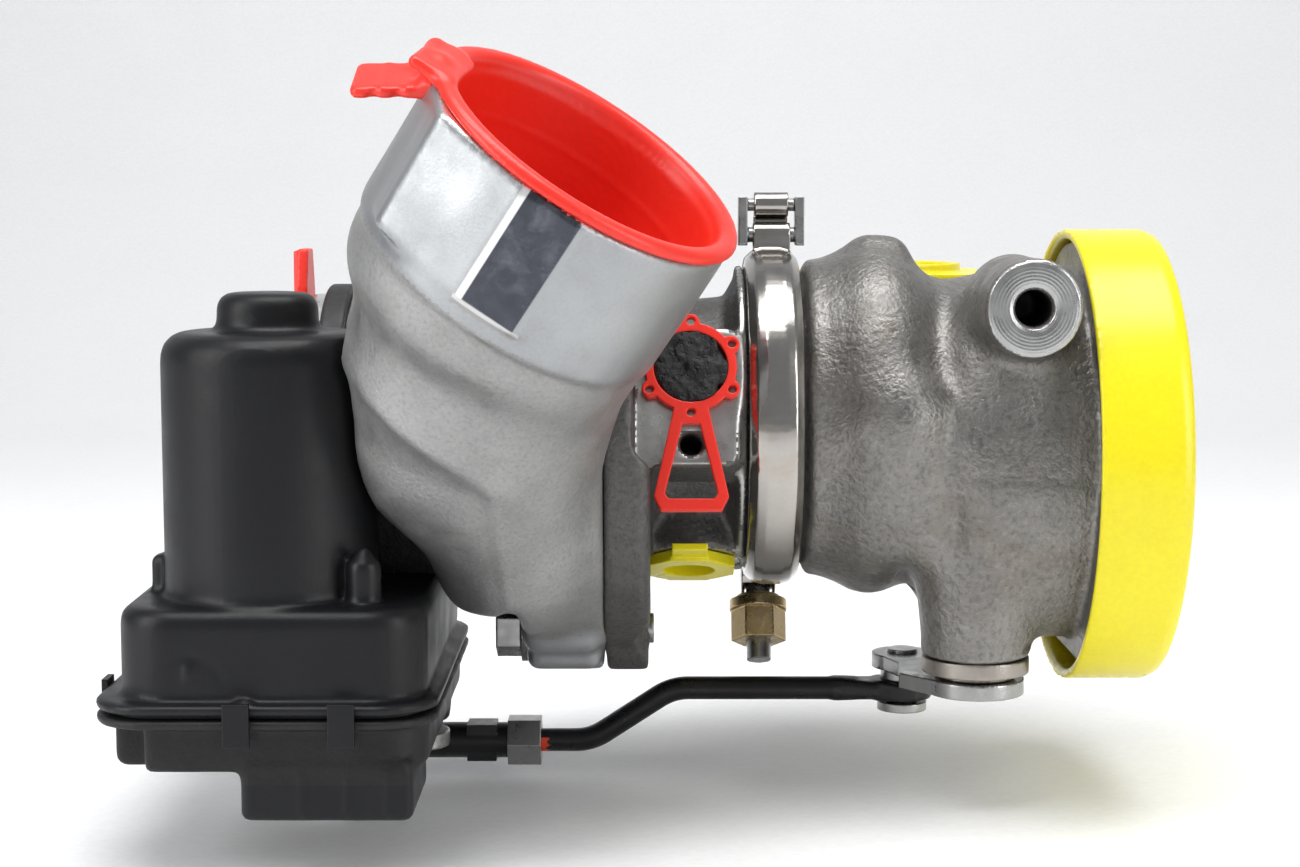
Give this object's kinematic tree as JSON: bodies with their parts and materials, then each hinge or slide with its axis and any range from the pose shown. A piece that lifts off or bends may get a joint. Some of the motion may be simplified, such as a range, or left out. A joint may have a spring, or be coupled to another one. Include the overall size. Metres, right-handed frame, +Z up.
{
  "type": "turbocharger",
  "caption": "Exhaust turbocharger with scroll compressor housing, clamp-banded turbine housing, electric wastegate actuator with control rod, and transport caps fitted.",
  "frame": {"origin": "on the rotor axis, at the joint face between the compressor housing and the bearing housing", "axes": "+X along the rotor axis from compressor to turbine, +Z up, -Y the side with the oil inlet, the outlet stub and the actuator motor"},
  "size_m": [0.1978, 0.1634, 0.1435],
  "materials": {
    "cast_aluminium": "satin",
    "machined_aluminium": "satin",
    "cast_iron": "matte",
    "turbine_cast_steel": "matte",
    "heat_alloy": "satin",
    "steel": "satin",
    "stainless_band": "gloss",
    "zinc_gold": "satin",
    "bronze": "satin",
    "black_steel": "satin",
    "black_bracket": "matte",
    "black_plastic": "satin",
    "gear_plastic": "satin",
    "red_plastic": "satin",
    "yellow_plastic": "satin",
    "rubber": "matte",
    "foam": "matte",
    "magnet": "matte",
    "copper": "satin",
    "board": "satin"
  },
  "bodies": {
    "housings": {"compressor_housing": "cast_aluminium", "compressor_bolts": "steel", "bolt_clamp_plates": "steel", "housing_o_ring": "rubber", "inlet_seal_ring": "rubber", "bearing_housing": "cast_iron", "journal_bearings": "bronze", "bearing_spacer": "steel", "thrust_bearing": "bronze", "seal_plate": "cast_iron", "shaft_seal_rings": "steel", "heat_shield": "heat_alloy", "turbine_housing": "turbine_cast_steel", "wastegate_bushing": "heat_alloy", "vband_front": "stainless_band", "vband_rear": "stainless_band", "vband_link": "steel", "vband_trunnion": "steel", "vband_t_bolt": "steel", "vband_nut": "zinc_gold", "actuator_bracket": "black_bracket", "bracket_bolts": "steel", "actuator_housing": "black_plastic", "cover_gasket": "rubber", "actuator_cover": "black_plastic", "cover_clips": "black_plastic", "motor_case": "steel", "motor_magnets": "magnet", "circuit_board": "board", "connector_terminals": "copper", "idler_axle": "steel", "output_bushing": "bronze", "locating_pin": "steel"},
    "rotor": {"rotor_shaft": "steel", "turbine_wheel": "heat_alloy", "compressor_wheel": "machined_aluminium", "compressor_nut": "steel", "thrust_collar": "steel"},
    "outlet_plug": {"compressor_outlet_plug": "red_plastic"},
    "inlet_plug": {"compressor_inlet_plug": "red_plastic"},
    "oil_plug": {"oil_inlet_retainer": "red_plastic", "oil_inlet_foam": "foam"},
    "drain_cap": {"oil_drain_cap": "yellow_plastic"},
    "exhaust_outlet_cap": {"turbine_outlet_cap": "yellow_plastic"},
    "exhaust_inlet_cap": {"turbine_inlet_cap": "yellow_plastic"},
    "wastegate": {"wastegate_spindle": "heat_alloy", "wastegate_flap": "heat_alloy", "flap_washer": "heat_alloy", "wastegate_lever": "steel", "lever_pin": "steel"},
    "output_crank": {"output_gear": "gear_plastic", "output_shaft": "steel", "crank_lever": "steel", "crank_pin": "steel"},
    "rod": {"rod_end_sleeve": "black_steel", "jam_nut": "steel", "control_rod": "black_steel"},
    "idler": {"idler_gear": "gear_plastic"},
    "motor_rotor": {"motor_armature": "copper", "motor_pinion": "bronze"}
  },
  "joints": [
    {"name": "rotor_spin", "type": "hinge", "parent": "housings", "child": "rotor", "pos_m": [0, 0, 0], "axis": [1, 0, 0], "continuous": true},
    {"name": "outlet_plug_pull", "type": "slide", "parent": "housings", "child": "outlet_plug", "axis": [0.5289, -0.3024, 0.793], "range_m": [0, 0.06]},
    {"name": "inlet_plug_pull", "type": "slide", "parent": "housings", "child": "inlet_plug", "axis": [-1, 0, 0], "range_m": [0, 0.05]},
    {"name": "oil_plug_pull", "type": "slide", "parent": "housings", "child": "oil_plug", "axis": [0, -0.9272, 0.3746], "range_m": [0, 0.012]},
    {"name": "drain_cap_pull", "type": "slide", "parent": "housings", "child": "drain_cap", "axis": [0, -0.3746, -0.9272], "range_m": [0, 0.015]},
    {"name": "exhaust_outlet_cap_pull", "type": "slide", "parent": "housings", "child": "exhaust_outlet_cap", "axis": [1, 0, 0], "range_m": [0, 0.06]},
    {"name": "exhaust_inlet_cap_pull", "type": "slide", "parent": "housings", "child": "exhaust_inlet_cap", "axis": [0, 0, 1], "range_m": [0, 0.05]},
    {"name": "crank_turn", "type": "hinge", "parent": "housings", "child": "output_crank", "pos_m": [-0.0366, -0.02, -0.06], "axis": [0, 0, -1], "range_deg": [0, 45]},
    {"name": "wastegate_turn", "type": "hinge", "parent": "housings", "child": "wastegate", "pos_m": [0.0714, -0.02, -0.045], "axis": [0, 0, -1], "range_deg": [0, 45]},
    {"name": "rod_pivot", "type": "hinge", "parent": "output_crank", "child": "rod", "pos_m": [-0.048, 0.004, -0.0669], "axis": [0, 0, -1], "range_deg": [-45, 0]},
    {"name": "idler_turn", "type": "hinge", "parent": "housings", "child": "idler", "pos_m": [-0.05593, -0.03132, -0.04], "axis": [0, 0, -1], "range_deg": [-165, 0]},
    {"name": "motor_turn", "type": "hinge", "parent": "housings", "child": "motor_rotor", "pos_m": [-0.0596, -0.047, 0], "axis": [0, 0, -1], "range_deg": [0, 594]}
  ],
  "couplings": [
    {"joint": "wastegate_turn", "follows": "crank_turn", "ratio": 1},
    {"joint": "rod_pivot", "follows": "crank_turn", "ratio": -1},
    {"joint": "idler_turn", "follows": "crank_turn", "ratio": -3.6667},
    {"joint": "motor_turn", "follows": "crank_turn", "ratio": 13.2}
  ]
}
